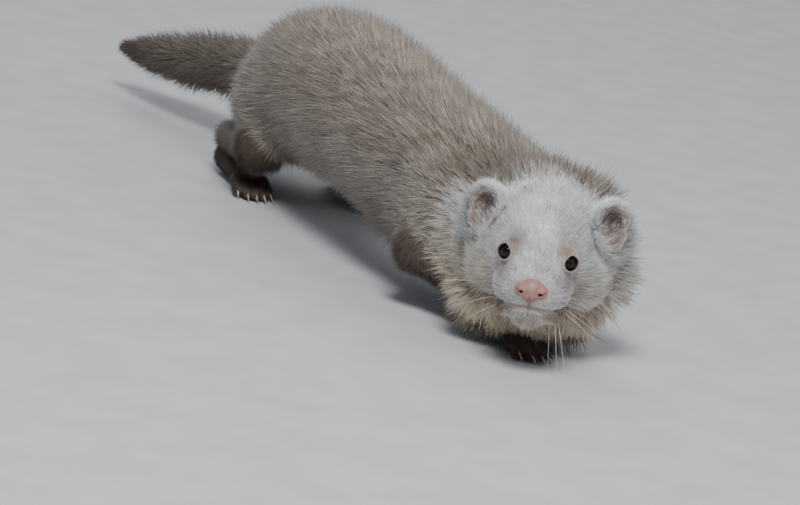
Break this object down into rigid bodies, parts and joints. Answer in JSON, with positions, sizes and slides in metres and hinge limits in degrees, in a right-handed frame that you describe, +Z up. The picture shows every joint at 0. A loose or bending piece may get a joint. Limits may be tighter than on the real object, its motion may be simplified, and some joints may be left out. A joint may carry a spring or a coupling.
{
  "type": "ferret",
  "caption": "Life-size still model of a ferret standing low on its paws, with its head turned to its right, small rounded ears, a blunt muzzle and a tapering tail.",
  "frame": {"origin": "under the middle of the model's bounding box, on the floor that the soles stand on", "axes": "+Z up; the ferret faces -Y, its head turned 27 degrees towards -X; its left is +X"},
  "size_m": [0.0878, 0.4744, 0.0935],
  "materials": {
    "pale_coat": "soft pale hair with a little brown in it",
    "body_coat": "pale underfur with brown guard hairs",
    "dark_coat": "dark brown hair on the legs and tail",
    "ear": "thin skin with short cream hair at the rim",
    "nose_leather": "moist pink skin",
    "eye": "polished, nearly black"
  },
  "bodies": {
    "root": {"head": "pale_coat", "neck": "pale_coat", "torso": "body_coat", "tail": "dark_coat", "ear_left": "ear", "ear_right": "ear", "eye_left": "eye", "eye_right": "eye", "nose": "nose_leather", "foreleg_left": "dark_coat", "foreleg_right": "dark_coat", "forepaw_left": "dark_coat", "forepaw_right": "dark_coat", "hindleg_left": "dark_coat", "hindleg_right": "dark_coat", "hindpaw_left": "dark_coat", "hindpaw_right": "dark_coat"}
  },
  "joints": []
}
